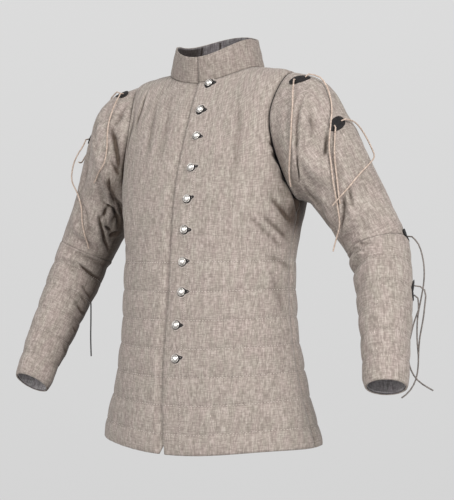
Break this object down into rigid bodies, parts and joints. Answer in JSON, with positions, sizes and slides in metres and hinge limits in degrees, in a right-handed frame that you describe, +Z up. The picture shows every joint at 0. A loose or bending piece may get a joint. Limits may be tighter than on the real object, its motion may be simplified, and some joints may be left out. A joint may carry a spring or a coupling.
{
  "type": "gambeson",
  "caption": "Long-sleeved quilted linen arming coat with a standing collar, a buttoned front, flared skirt and laced arm patches, in its hollow worn shape.",
  "frame": {"origin": "on the middle plane of the body, level with the sides of the neck seam, where the wearer's neck and shoulders carry it", "axes": "+Z up, front faces -Y, the wearer's left is +X"},
  "size_m": [0.9121, 0.3119, 0.8571],
  "materials": {
    "linen": "undyed beige-grey linen, quilted",
    "lining_linen": "dark grey linen lining",
    "pewter": "pale cast metal, worn bright",
    "black_leather": "black leather",
    "leather_lace": "pale tan round thong"
  },
  "bodies": {
    "root": {"back": "linen", "button_01": "pewter", "button_02": "pewter", "button_03": "pewter", "button_04": "pewter", "button_05": "pewter", "button_06": "pewter", "button_07": "pewter", "button_08": "pewter", "button_09": "pewter", "button_10": "pewter", "collar": "linen", "collar_lining": "lining_linen", "left_arm_lace_1": "leather_lace", "left_arm_lace_2": "leather_lace", "left_arm_patch": "black_leather", "left_cuff_lining": "lining_linen", "left_elbow_lace": "leather_lace", "left_elbow_patch": "black_leather", "left_forearm_lace_1": "leather_lace", "left_forearm_lace_2": "leather_lace", "left_forearm_patch": "black_leather", "left_front": "linen", "left_lower_sleeve": "linen", "left_shoulder_lace_1": "leather_lace", "left_shoulder_lace_2": "leather_lace", "left_shoulder_patch": "black_leather", "left_upper_sleeve": "linen", "right_arm_lace_1": "leather_lace", "right_arm_lace_2": "leather_lace", "right_arm_patch": "black_leather", "right_cuff_lining": "lining_linen", "right_elbow_lace": "leather_lace", "right_elbow_patch": "black_leather", "right_forearm_lace_1": "leather_lace", "right_forearm_lace_2": "leather_lace", "right_forearm_patch": "black_leather", "right_front": "linen", "right_lower_sleeve": "linen", "right_shoulder_lace_1": "leather_lace", "right_shoulder_lace_2": "leather_lace", "right_shoulder_patch": "black_leather", "right_upper_sleeve": "linen"}
  },
  "joints": []
}
